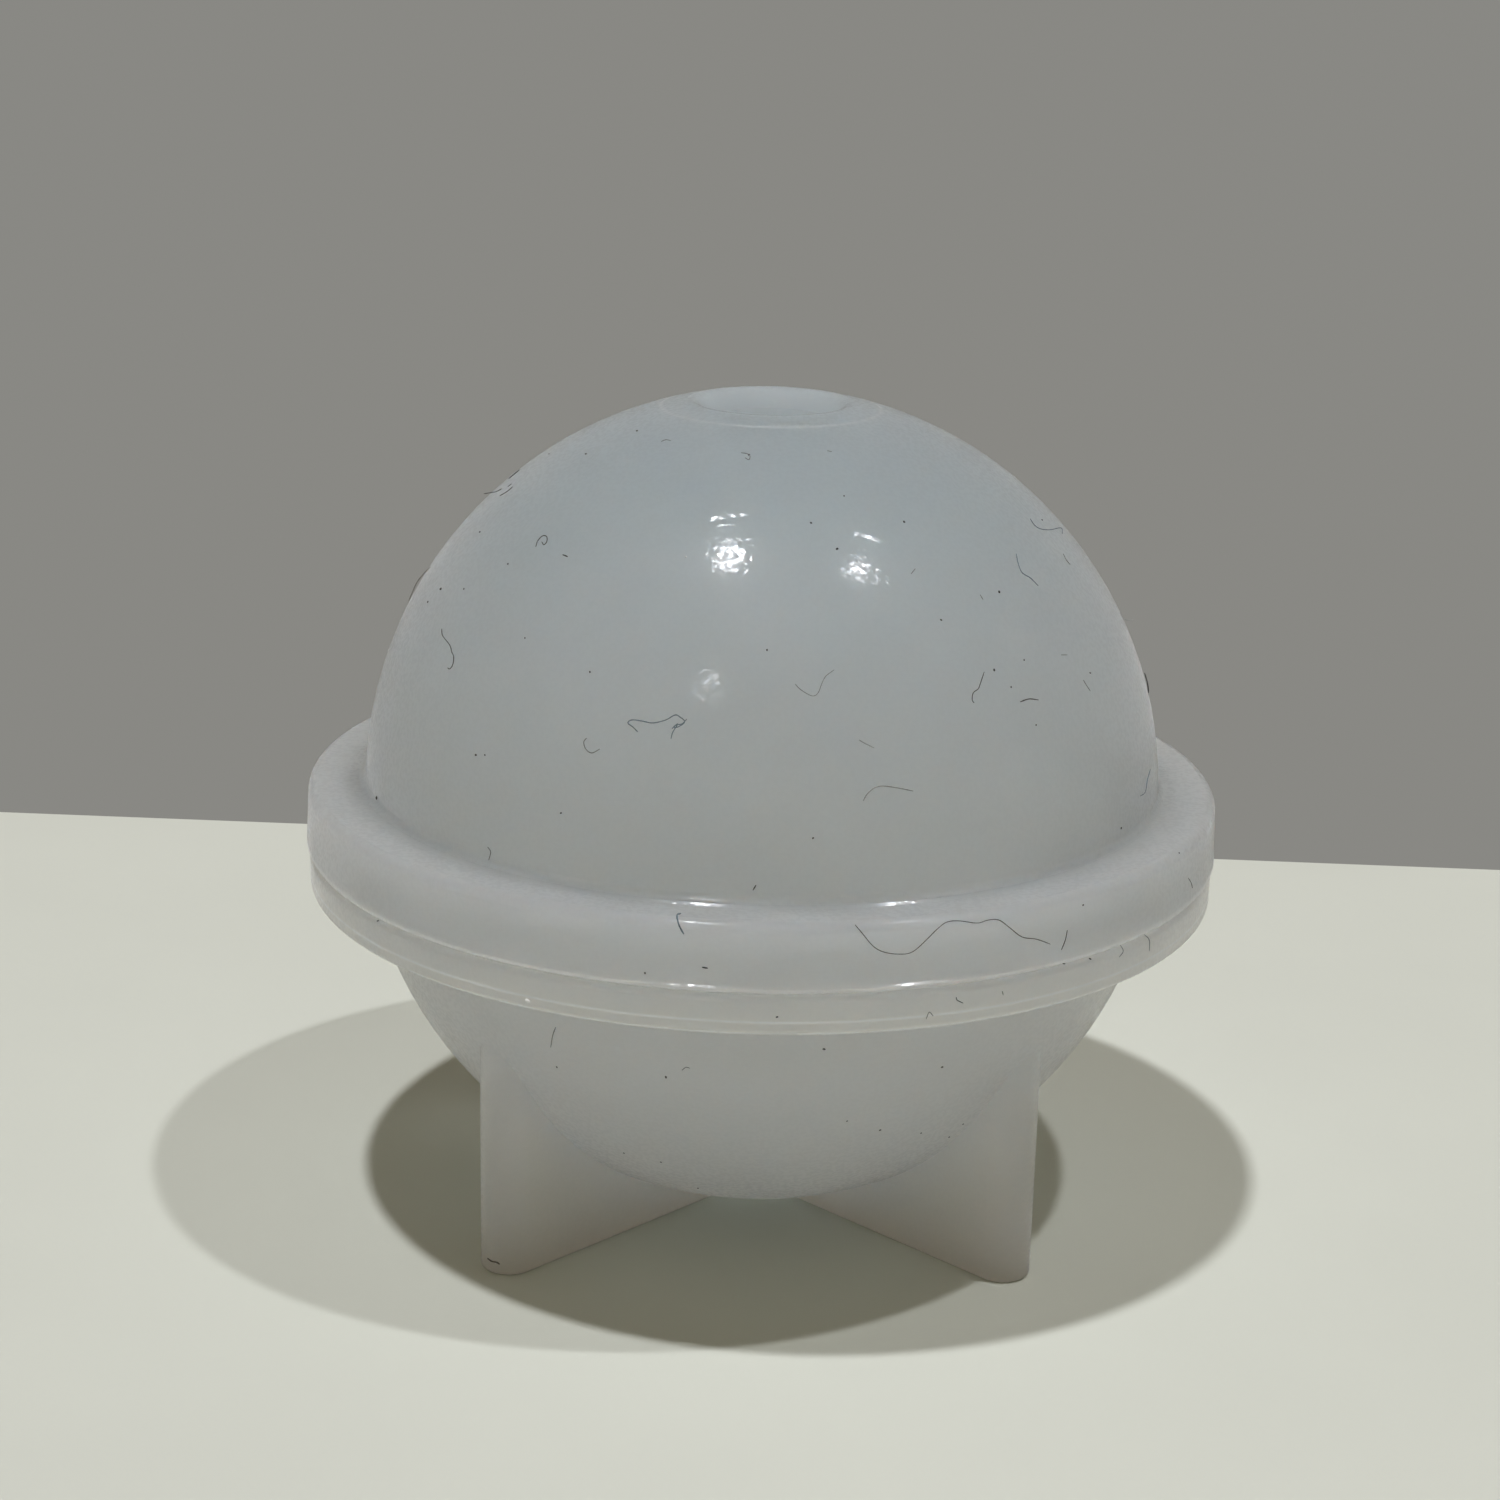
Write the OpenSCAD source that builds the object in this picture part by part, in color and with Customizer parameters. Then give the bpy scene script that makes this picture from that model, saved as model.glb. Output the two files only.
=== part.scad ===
// Two-part ball mould, moulded in soft translucent silicone.
// The bowl-shaped lower half stands on crossed radial fins and carries a ledge with a raised lip.
// The domed upper half drops its skirt over that lip and seats on it, and is filled from its top.
// Millimetres, +Z up. The origin is the centre of the plane that the mould stands on.

/* [Cavity] */
// Diameter of the ball that the mould casts
cavity_d = 50; // [44:0.5:60]

/* [Upper half] */
// Wall of the dome at the parting plane
dome_wall = 2; // [1.6:0.05:3]
// Wall of the dome at its crown
crown_wall = 2.45; // [2:0.05:3.5]
// Thickness of the rim plate above the parting plane
plate_t = 1.2; // [0.9:0.05:2.4]
// Depth of the skirt below the parting plane
skirt_depth = 3.2; // [2.4:0.05:5]
// Wall of the skirt at its lower edge
skirt_wall = 1.8; // [1.4:0.05:2.6]
// How far the skirt draws in towards its top
rim_draft = 0.2; // [0.1:0.05:0.6]
// Rounding of the rim's upper edge
rim_edge_r = 0.7; // [0.3:0.05:0.8]
// Rounding of the skirt's lower edges
skirt_edge_r = 0.35; // [0.15:0.05:0.45]
// Fillet where the dome rises from the rim plate
dome_fillet_r = 0.5; // [0.2:0.05:0.8]

/* [Filling hole] */
// Diameter of the filling hole's straight throat
throat_d = 7.6; // [5:0.1:9]
// Height of the straight throat above the cavity
throat_h = 1; // [0.6:0.05:1.2]
// Diameter of the mouth where its lip meets the dome
mouth_d = 11.3; // [11:0.1:14]
// Rounding of the mouth's lip
lip_round_r = 0.9; // [0.4:0.05:1]

/* [Lower half] */
// Wall of the bowl at the parting plane
bowl_wall = 2.4; // [1.8:0.05:3]
// Wall of the bowl at its lowest point
base_wall = 3; // [2.4:0.05:4.5]
// Thickness of the ledge under the skirt
ledge_t = 2.5; // [1.6:0.05:3.5]
// How far the ledge stays inside the skirt's outer edge
ledge_inset = 0.2; // [0:0.05:0.6]
// Rounding of the ledge's edges
ledge_edge_r = 0.4; // [0.2:0.05:0.6]
// Fillet between the ledge and the bowl
ledge_fillet_r = 0.5; // [0.2:0.05:0.8]
// How far the raised lip stands out from the bowl
lip_step = 1.65; // [1.2:0.05:4]
// Rounding of the raised lip's top edge
lip_edge_r = 0.35; // [0.15:0.05:0.6]

/* [Fins] */
// Number of fins
fin_count = 4; // [3:1:6]
// Direction of the first fin around the axis, in degrees
fin_angle = 45; // [0:5:90]
// Thickness of a fin
fin_t = 3.8; // [2.4:0.1:5]
// How far a fin's end stays inside the bowl's outer radius
fin_inset = 2.5; // [1:0.1:8]
// Rounding of a fin's standing edges
fin_edge_r = 0.35; // [0.15:0.05:0.8]
// Height of the bowl's lowest point above the standing plane
foot_drop = 0.2; // [0.1:0.05:4]

/* [Fits] */
// Clearance between the raised lip and the skirt
lip_gap = 0.15; // [0.1:0.05:0.4]
// Gap between the skirt's lower edge and the ledge
seam_gap = 0.2; // [0.1:0.05:0.5]

/* [Hidden] */
$fn = 96;
cavity_r = cavity_d / 2;
part_z = foot_drop + base_wall + cavity_r;

bowl_r = cavity_r + bowl_wall;
bowl_z = part_z - base_wall + bowl_wall;
lip_r = bowl_r + lip_step;

dome_r = cavity_r + dome_wall;
dome_z = part_z + crown_wall - dome_wall;
plate_z = part_z + plate_t;
skirt_in_r = lip_r + lip_gap;
rim_r = skirt_in_r + skirt_wall;
skirt_z = part_z - skirt_depth;

throat_r = throat_d / 2;
throat_z = part_z + sqrt(pow(cavity_r, 2) - pow(throat_r, 2));
throat_top_z = throat_z + throat_h;
mouth_angle = asin(mouth_d / 2 / dome_r);

ledge_r = rim_r - ledge_inset;
ledge_top_z = skirt_z - seam_gap;
ledge_z = ledge_top_z - ledge_t;
fin_reach = bowl_r - fin_inset;

// How far a cutting shape runs past the face that it cuts
over = 1;
// Depth of a rounding's centre under a face, as a share of its radius. A little under 1 lets
// the round cross the face cleanly, where shapes that only touch would leave slivers
depth = 0.996;

// Point at a radius and an angle from a centre
function around(c, r, a) = c + r * [cos(a), sin(a)];

// Direction of the point where a line from p touches a circle, on its upper or inner side
function touch_angle(p, c, r) = atan2(p.y - c.y, p.x - c.x) - acos(r / norm(c - p));

// Vector of length 1
function unit(v) = v / norm(v);

// Cutter that rounds the convex corner at p, between the edges to two other points
module corner_cutter(from, p, to, r) {
    u = unit(from - p);
    v = unit(to - p);
    half = acos(u * v) / 2;
    foot = depth * r / tan(half);
    centre = p + unit(u + v) * depth * r / sin(half);
    // Past the edges and the corner, seen from the centre of the rounding
    past = 1 + over / r;
    difference() {
        polygon([centre, for (q = [p + u * foot, p, p + v * foot]) centre + past * (q - centre)]);
        translate(centre)
            circle(r);
    }
}

// Everything on the right of the axis
module right_half(z_low, z_high) {
    intersection() {
        children();
        translate([0, z_low])
            square([2 * rim_r, z_high - z_low]);
    }
}

// Concave fillet in the corner between a circle round the axis and a level face.
// side is 1 where the face looks up and -1 where it looks down
module root_fillet(circle_z, circle_r, face_z, r, side) {
    rise = side * (face_z - circle_z) + depth * r;
    reach = sqrt(pow(circle_r + depth * r, 2) - pow(rise, 2));
    centre = [reach, circle_z + side * rise];
    touch = around([0, circle_z], circle_r, side * asin(rise / (circle_r + depth * r)));
    difference() {
        polygon([[touch.x - r, face_z - side * r], [reach, face_z - side * r], centre, touch,
                 [touch.x - r, touch.y]]);
        translate(centre)
            circle(r);
    }
}

// Section of the rim plate with the skirt, leaning in towards its top
module rim_section() {
    inner_top = [skirt_in_r, part_z];
    inner_low = [skirt_in_r, skirt_z];
    outer_low = [rim_r, skirt_z];
    outer_top = [rim_r - rim_draft, plate_z];
    plate_mid = [0, plate_z];
    difference() {
        polygon([[0, part_z], inner_top, inner_low, outer_low, outer_top, plate_mid]);
        corner_cutter(inner_top, inner_low, outer_low, skirt_edge_r);
        corner_cutter(inner_low, outer_low, outer_top, skirt_edge_r);
        corner_cutter(outer_low, outer_top, plate_mid, rim_edge_r);
    }
}

// Void of the filling hole: a throat, a cone and a rounded lip that runs out on the dome
module filling_hole_section() {
    dome_centre = [0, dome_z];
    lip_centre = around(dome_centre, dome_r - depth * lip_round_r, 90 - mouth_angle);
    throat_top = [throat_r, throat_top_z];
    cone_angle = touch_angle(throat_top, lip_centre, depth * lip_round_r);
    cone_end = around(lip_centre, depth * lip_round_r, cone_angle);
    mouth_out = around(dome_centre, dome_r + over, 90 - mouth_angle);
    difference() {
        polygon([[0, throat_z - over], [throat_r, throat_z - over], throat_top, cone_end,
                 lip_centre, mouth_out, [0, mouth_out.y]]);
        translate(lip_centre)
            circle(lip_round_r);
    }
}

module upper_half() {
    color("lightsteelblue")
        rotate_extrude()
            difference() {
                union() {
                    right_half(part_z, dome_z + dome_r)
                        translate([0, dome_z])
                            circle(dome_r);
                    rim_section();
                    root_fillet(dome_z, dome_r, plate_z, dome_fillet_r, 1);
                }
                translate([0, part_z])
                    circle(cavity_r);
                filling_hole_section();
            }
}

// Section of the ledge with the raised lip
module ledge_section() {
    ledge_mid = [0, ledge_z];
    ledge_low = [ledge_r, ledge_z];
    ledge_top = [ledge_r, ledge_top_z];
    lip_root = [lip_r, ledge_top_z];
    lip_top = [lip_r, part_z];
    lip_mid = [0, part_z];
    difference() {
        polygon([ledge_mid, ledge_low, ledge_top, lip_root, lip_top, lip_mid]);
        corner_cutter(ledge_mid, ledge_low, ledge_top, ledge_edge_r);
        corner_cutter(ledge_low, ledge_top, lip_root, ledge_edge_r);
        corner_cutter(lip_root, lip_top, lip_mid, lip_edge_r);
    }
}

// Profile of a fin seen along its length, with rounded standing edges
module fin_section(h) {
    low_left = [-fin_t / 2, 0];
    low_right = [fin_t / 2, 0];
    top_right = [fin_t / 2, h];
    top_left = [-fin_t / 2, h];
    difference() {
        polygon([low_left, low_right, top_right, top_left]);
        corner_cutter(top_left, low_left, low_right, fin_edge_r);
        corner_cutter(low_left, low_right, top_right, fin_edge_r);
    }
}

// One radial fin along +X with a round outer end
module fin(h) {
    end_r = fin_reach - fin_t / 2;
    rotate([90, 0, 90])
        linear_extrude(end_r)
            fin_section(h);
    translate([end_r, 0, 0])
        rotate_extrude()
            intersection() {
                fin_section(h);
                square([fin_t, h]);
            }
}

module lower_half() {
    color("lightsteelblue")
        difference() {
            union() {
                rotate_extrude()
                    union() {
                        right_half(bowl_z - bowl_r, part_z)
                            translate([0, bowl_z])
                                circle(bowl_r);
                        ledge_section();
                        root_fillet(bowl_z, bowl_r, ledge_z, ledge_fillet_r, -1);
                    }
                for (i = [0 : fin_count - 1])
                    rotate(fin_angle + i * 360 / fin_count)
                        fin(ledge_z + ledge_t / 2);
            }
            translate([0, 0, part_z])
                sphere(cavity_r);
        }
}

upper_half();
lower_half();
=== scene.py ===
"""Looks of a two-part silicone ball mould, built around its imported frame.

The dome half with the filling hole and the bowl half on its crossed fins are the frame's own
solids, finished here in translucent silicone. Lint and dust lie on both. Metres, +Z up.
"""

import math
import random

import bpy
from bpy.props import (
    FloatProperty,
    FloatVectorProperty,
    IntProperty,
    PointerProperty,
)
from mathutils import Matrix, Vector


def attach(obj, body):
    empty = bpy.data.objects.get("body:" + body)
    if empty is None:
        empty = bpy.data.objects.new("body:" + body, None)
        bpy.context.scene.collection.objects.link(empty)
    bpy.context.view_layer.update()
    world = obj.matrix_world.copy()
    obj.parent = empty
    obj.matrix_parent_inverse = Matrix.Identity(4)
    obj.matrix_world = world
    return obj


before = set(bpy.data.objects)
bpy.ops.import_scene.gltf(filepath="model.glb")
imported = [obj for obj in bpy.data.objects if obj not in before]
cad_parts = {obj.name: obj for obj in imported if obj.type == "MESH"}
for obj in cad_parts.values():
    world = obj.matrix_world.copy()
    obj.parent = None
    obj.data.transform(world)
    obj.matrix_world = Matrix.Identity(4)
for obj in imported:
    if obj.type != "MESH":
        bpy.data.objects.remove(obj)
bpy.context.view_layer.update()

bl_info = {
    "name": "Ball mould looks",
    "version": (1, 0, 0),
    "blender": (4, 5, 0),
    "location": "View3D > Sidebar > Ball mould",
    "description": "Silicone, lint, dust and stage for a two-part ball mould",
    "category": "Object",
}

MM = 0.001

# CAD node and silicone slot of each half, by its body
HALVES = {
    "upper": ("upper_half", "upper_silicone"),
    "lower": ("lower_half", "lower_silicone"),
}
# Seeds of each half's skin, lint, dust and first speck
SEEDS = {
    "upper": {"skin": 3.0, "lint": 21, "dust": 31, "speck": 11},
    "lower": {"skin": 13.0, "lint": 22, "dust": 32, "speck": 12},
}

# Width of the photograph's frame in pixels, in which fibres and specks are placed
FRAME_PX = 1500

# Lint that shows from the front: half, tone, thickness in mm, and its course in photograph pixels
FIBRES = {
    "shoulder_low": ("upper", "dark", 0.055, [(484, 494), (490, 493), (496, 492), (502, 489)]),
    "shoulder_mid": ("upper", "dark", 0.055, [(500, 496), (507, 492), (513, 487)]),
    "shoulder_bit": ("upper", "dark", 0.05, [(508, 487), (512, 484)]),
    "shoulder_top": ("upper", "dark", 0.07, [(509, 479), (515, 474), (520, 470)]),
    "left_outline": ("upper", "brown", 0.055,
                     [(431, 567), (423, 575), (417, 583), (413, 592), (409, 601)]),
    "left_loop": ("upper", "dark", 0.06,
                  [(536, 547), (538, 541), (543, 536), (547, 537), (547, 542), (544, 545),
                   (542, 542)]),
    "left_dash": ("upper", "dark", 0.09, [(563, 555), (568, 557)]),
    "left_wave": ("upper", "dark", 0.055,
                  [(442, 629), (443, 636), (450, 645), (452, 652), (454, 657), (453, 665),
                   (450, 669), (448, 668)]),
    "left_low": ("upper", "pale", 0.06, [(488, 847), (491, 852), (489, 860)]),
    "centre_knot": ("upper", "blue", 0.07,
                    [(638, 732), (633, 727), (628, 723), (632, 720), (642, 721), (653, 723),
                     (666, 720), (675, 715), (680, 717), (685, 722), (678, 727), (674, 727),
                     (678, 724), (673, 732), (671, 739)]),
    "knot_strand": ("upper", "blue", 0.06, [(687, 719), (682, 724), (676, 725), (672, 729)]),
    "centre_arc": ("upper", "pale", 0.065,
                   [(587, 738), (584, 742), (586, 749), (592, 753), (600, 749)]),
    "right_top": ("upper", "blue", 0.055,
                  [(1030, 519), (1034, 525), (1040, 529), (1050, 530), (1061, 528), (1062, 534)]),
    "right_upper": ("upper", "blue", 0.055,
                    [(1016, 554), (1018, 564), (1022, 573), (1030, 578), (1038, 586)]),
    "right_bit": ("upper", "pale", 0.055, [(1063, 554), (1066, 560), (1070, 565)]),
    "glint_bit": ("upper", "pale", 0.06, [(915, 569), (911, 574)]),
    "right_fork": ("upper", "dark", 0.055,
                   [(984, 672), (980, 684), (978, 689), (973, 693), (972, 700), (974, 703)]),
    "right_dash": ("upper", "dark", 0.07, [(1020, 702), (1025, 700), (1030, 699), (1038, 700)]),
    "right_mid": ("upper", "pale", 0.05, [(1083, 680), (1086, 685), (1090, 691)]),
    "right_outline": ("upper", "dark", 0.09, [(1144, 673), (1147, 684), (1148, 693)]),
    "right_low": ("upper", "blue", 0.055, [(1150, 769), (1147, 780), (1145, 792), (1140, 796)]),
    "middle_faint": ("upper", "faint", 0.045,
                     [(834, 670), (826, 676), (822, 683), (818, 693), (812, 696), (801, 690),
                      (795, 684)]),
    "middle_dash": ("upper", "faint", 0.06, [(859, 740), (864, 743), (874, 748)]),
    "low_arc": ("upper", "pale", 0.06,
                [(863, 801), (867, 794), (874, 788), (883, 786), (898, 788), (913, 791)]),
    "foot_dash": ("upper", "dark", 0.08, [(753, 890), (756, 885)]),
    "rim_short": ("upper", "blue", 0.1, [(681, 914), (677, 916), (679, 925), (684, 934)]),
    "rim_dash": ("upper", "dark", 0.1, [(702, 967), (708, 968)]),
    "rim_long": ("upper", "dark", 0.055,
                 [(855, 925), (862, 933), (873, 946), (884, 952), (899, 954), (912, 952),
                  (926, 940), (937, 929), (947, 922), (960, 921), (977, 923), (988, 920),
                  (999, 920), (1010, 928), (1022, 937), (1036, 939), (1050, 944)]),
    "rim_right": ("upper", "dark", 0.065, [(1067, 930), (1065, 940), (1061, 950)]),
    "rim_end": ("upper", "dark", 0.05, [(1188, 878), (1191, 883), (1192, 888)]),
    "right_small": ("upper", "pale", 0.05, [(980, 595), (983, 600)]),
    "right_faint": ("upper", "faint", 0.05, [(1061, 655), (1067, 655)]),
    "right_stray": ("upper", "faint", 0.05, [(1119, 610), (1122, 617), (1126, 620), (1133, 620)]),
    "crown_left": ("upper", "faint", 0.05, [(661, 442), (666, 440), (671, 441)]),
    "crown_curl": ("upper", "pale", 0.055,
                   [(741, 453), (747, 454), (750, 456), (749, 460), (745, 458)]),
    "crown_right": ("upper", "pale", 0.05, [(827, 451), (832, 452)]),
    "ledge_right_a": ("lower", "pale", 0.05, [(1120, 945), (1123, 951), (1119, 957)]),
    "ledge_right_b": ("lower", "pale", 0.05, [(1144, 935), (1149, 940), (1149, 951)]),
    "ledge_corner": ("lower", "dark", 0.055, [(956, 997), (957, 1000), (963, 1003)]),
    "ledge_loop": ("lower", "pale", 0.06, [(926, 1019), (929, 1012), (933, 1016)]),
    "ledge_bit": ("lower", "pale", 0.06, [(1002, 991), (1003, 995)]),
    "bowl_left": ("lower", "pale", 0.07, [(556, 1027), (553, 1035), (551, 1047)]),
    "foot_nick": ("lower", "brown", 0.1, [(488, 1258), (492, 1261), (497, 1262), (500, 1264)]),
    "bowl_dash": ("lower", "pale", 0.05, [(682, 1070), (686, 1067), (690, 1068)]),
}

# Specks that show from the front: half, tone, diameter in mm, and their places in photograph pixels
SPECKS = [
    ("upper", "dust", 0.22, [(441, 589), (377, 798)]),
    ("upper", "dust", 0.15,
     [(586, 454), (428, 602), (811, 523), (837, 549), (994, 670), (637, 431), (480, 532),
      (999, 592), (749, 455), (476, 755), (1121, 828), (904, 522)]),
    ("upper", "dust", 0.11,
     [(464, 589), (549, 454), (508, 564), (525, 638), (590, 672), (485, 755), (561, 813),
      (813, 838), (844, 496), (1011, 687), (1090, 673), (1042, 520), (941, 620), (1036, 725),
      (767, 650), (1083, 905), (1179, 853), (645, 973), (1024, 660)]),
    ("lower", "dust", 0.14,
     [(378, 921), (1064, 964), (1090, 959), (557, 1067), (666, 1077), (824, 1049), (942, 1067)]),
    ("lower", "dust", 0.11,
     [(777, 1017), (624, 1153), (661, 1162), (698, 1188), (847, 1121), (880, 1130), (921, 1133),
      (963, 1124), (949, 1137)]),
    # White specks whose white is a painted highlight where two bright sparkles show
    ("upper", "white_dust", 0.12, [(686, 557)]),
    ("lower", "white_dust", 0.3, [(528, 1001)]),
]


class UpperLook(bpy.types.PropertyGroup):
    # Painted shade: the crown's colour is darker than the rim's, to even out the lamps' light from
    # above
    crown_colour_painted_shade: FloatVectorProperty(
        name="Crown", description="Milky body colour at the top of the dome", subtype="COLOR",
        size=3, min=0, max=1, default=(0.725, 0.785, 0.81))
    rim_colour: FloatVectorProperty(
        name="Rim", description="Milky body colour at the foot of the dome and in the rim",
        subtype="COLOR", size=3, min=0, max=1, default=(0.955, 0.965, 0.955))
    scatter_depth: FloatProperty(
        name="Scatter depth", description="How far light spreads inside the domed half",
        unit="LENGTH", min=0.0001, max=0.2, default=0.02)
    wall_clearness: FloatProperty(
        name="Clearness of the dome",
        description="Share of light that passes through the thin wall", subtype="FACTOR", min=0,
        max=1, default=0.85)
    solid_clearness: FloatProperty(
        name="Clearness of the rim", description="Share of light that passes through the solid rim",
        subtype="FACTOR", min=0, max=1, default=0.75)
    roughness: FloatProperty(
        name="Roughness", description="Roughness of the satin skin", subtype="FACTOR", min=0, max=1,
        default=0.75)
    gloss: FloatProperty(
        name="Gloss", description="Strength of the glossy skin over the satin one",
        subtype="FACTOR", min=0, max=1, default=0.42)


class LowerLook(bpy.types.PropertyGroup):
    bowl_colour: FloatVectorProperty(
        name="Bowl", description="Milky body colour of the bowl's wall", subtype="COLOR", size=3,
        min=0, max=1, default=(0.97, 0.95, 0.91))
    # Painted warm tint: the shadowed floor that shows through the fins, painted into their colour
    # towards the feet
    foot_colour_painted_tint: FloatVectorProperty(
        name="Feet", description="Milky body colour at the fins' far corners, where they stand",
        subtype="COLOR", size=3, min=0, max=1, default=(1.0, 0.95, 0.865))
    scatter_depth: FloatProperty(
        name="Scatter depth", description="How far light spreads inside the bowl half",
        unit="LENGTH", min=0.0001, max=0.2, default=0.05)
    wall_clearness: FloatProperty(
        name="Clearness of the bowl",
        description="Share of light that passes through the bowl's wall", subtype="FACTOR", min=0,
        max=1, default=0.55)
    solid_clearness: FloatProperty(
        name="Clearness of ledge and fins",
        description="Share of light that passes through the solid ledge and fins", subtype="FACTOR",
        min=0, max=1, default=0.5)
    roughness: FloatProperty(
        name="Roughness", description="Roughness of the satin skin", subtype="FACTOR", min=0, max=1,
        default=0.5)
    gloss: FloatProperty(
        name="Gloss", description="Strength of the glossy skin over the satin one",
        subtype="FACTOR", min=0, max=1, default=0.4)


class SkinLook(bpy.types.PropertyGroup):
    blue_depth: FloatVectorProperty(
        name="Depth by colour",
        description="How far red, green and blue light spread beside each other", size=3, min=0.1,
        max=1, default=(1.0, 0.92, 0.85))
    forward: FloatProperty(
        name="Forward scatter",
        description="How far the milky body throws light on instead of back", min=0, max=0.9,
        default=0.8)
    haze: FloatProperty(
        name="Haze", description="Pale bloom that the skin shows at flat angles", subtype="FACTOR",
        min=0, max=1, default=0.25)
    gloss_roughness: FloatProperty(
        name="Gloss roughness", description="Roughness of the glossy skin", subtype="FACTOR", min=0,
        max=1, default=0.16)
    grain: FloatProperty(
        name="Grain", description="Width of the fine grain that the mould tool left in the skin",
        unit="LENGTH", min=0.00005, max=0.005, default=0.00042)
    grain_depth: FloatProperty(
        name="Grain depth", description="Depth of that grain", unit="LENGTH", min=0, max=0.001,
        precision=6, default=0.000018)
    ripple: FloatProperty(
        name="Ripple", description="Width of the soft ripples that bend reflections", unit="LENGTH",
        min=0.0005, max=0.02, default=0.0018)
    ripple_depth: FloatProperty(
        name="Ripple depth", description="Depth of those ripples", unit="LENGTH", min=0, max=0.001,
        precision=6, default=0.000015)


class LintLook(bpy.types.PropertyGroup):
    dark: FloatVectorProperty(
        name="Dark lint", description="Colour of the dark fibres", subtype="COLOR", size=3, min=0,
        max=1, default=(0.05, 0.048, 0.045))
    pale: FloatVectorProperty(
        name="Pale lint", description="Colour of the fibres that barely show", subtype="COLOR",
        size=3, min=0, max=1, default=(0.26, 0.26, 0.245))
    faint: FloatVectorProperty(
        name="Faint lint", description="Colour of the fibres that are almost the silicone's",
        subtype="COLOR", size=3, min=0, max=1, default=(0.31, 0.315, 0.3))
    brown: FloatVectorProperty(
        name="Brown lint", description="Colour of the brownish fibres", subtype="COLOR", size=3,
        min=0, max=1, default=(0.14, 0.12, 0.1))
    blue: FloatVectorProperty(
        name="Blue lint", description="Colour of the blue-grey fibres", subtype="COLOR", size=3,
        min=0, max=1, default=(0.13, 0.17, 0.2))
    dust: FloatVectorProperty(
        name="Dust", description="Colour of the specks of dust", subtype="COLOR", size=3, min=0,
        max=1, default=(0.06, 0.055, 0.05))
    # White specks, partly a painted highlight: their white stands in for two bright sparkles
    white_dust: FloatVectorProperty(
        name="White dust", description="Colour of the few bright specks", subtype="COLOR", size=3,
        min=0, max=1, default=(0.95, 0.95, 0.94))
    hidden_fibres: IntProperty(
        name="Fibres behind", description="Fibres scattered over the sides away from the camera",
        min=0, max=200, default=26)
    hidden_specks: IntProperty(
        name="Specks behind", description="Specks scattered over the sides away from the camera",
        min=0, max=400, default=60)


class StageLook(bpy.types.PropertyGroup):
    floor: FloatVectorProperty(
        name="Floor", description="Colour of the table top", subtype="COLOR", size=3, min=0, max=1,
        default=(0.637, 0.662, 0.591))
    backdrop: FloatVectorProperty(
        name="Backdrop", description="Colour of the room as it is seen behind the table",
        subtype="COLOR", size=3, min=0, max=1, default=(0.25, 0.247, 0.23))
    room_light: FloatVectorProperty(
        name="Room light", description="Colour of the soft light that comes from the whole room",
        subtype="COLOR", size=3, min=0, max=1, default=(0.17, 0.14, 0.097))
    lamp_colour: FloatVectorProperty(
        name="Lamps", description="Colour of the lamps", subtype="COLOR", size=3, min=0, max=2,
        default=(1.0, 1.0, 1.05))
    key_share: FloatProperty(
        name="Key lamp", description="Light of the key lamp on the floor, where 1 is full", min=0,
        max=2, default=0.545)
    side_share: FloatProperty(
        name="Side lamp", description="Light of the side lamp on the floor, where 1 is full", min=0,
        max=2, default=0.273)
    lamp_distance: FloatProperty(
        name="Lamp distance", description="How far the lamps hang from the mould", unit="LENGTH",
        min=0.2, max=10, default=1.6)
    lamp_size: FloatProperty(
        name="Key lamp size", description="Diameter of the key lamp", unit="LENGTH", min=0.01,
        max=2, default=0.08)
    side_size: FloatProperty(
        name="Side lamp size", description="Diameter of the side lamp", unit="LENGTH", min=0.01,
        max=2, default=0.055)


class CameraLook(bpy.types.PropertyGroup):
    place: FloatVectorProperty(
        name="Place", description="Where the camera stands", subtype="TRANSLATION", unit="LENGTH",
        size=3, default=(-0.004532, -0.197957, 0.089971))
    aim: FloatVectorProperty(
        name="Aim", description="The point that the camera looks at", subtype="TRANSLATION",
        unit="LENGTH", size=3, default=(-0.000863, 0.00002, 0.030897))
    roll: FloatProperty(
        name="Roll", description="Turn of the camera about its own axis", subtype="ANGLE",
        default=math.radians(1.348))
    lens: FloatProperty(
        name="Lens", description="Focal length in mm", min=10, max=300, default=72.413)


# Values that a noise mostly stays between
CORE = (0.35, 0.65)
WIDE_CORE = (0.3, 0.7)


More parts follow.
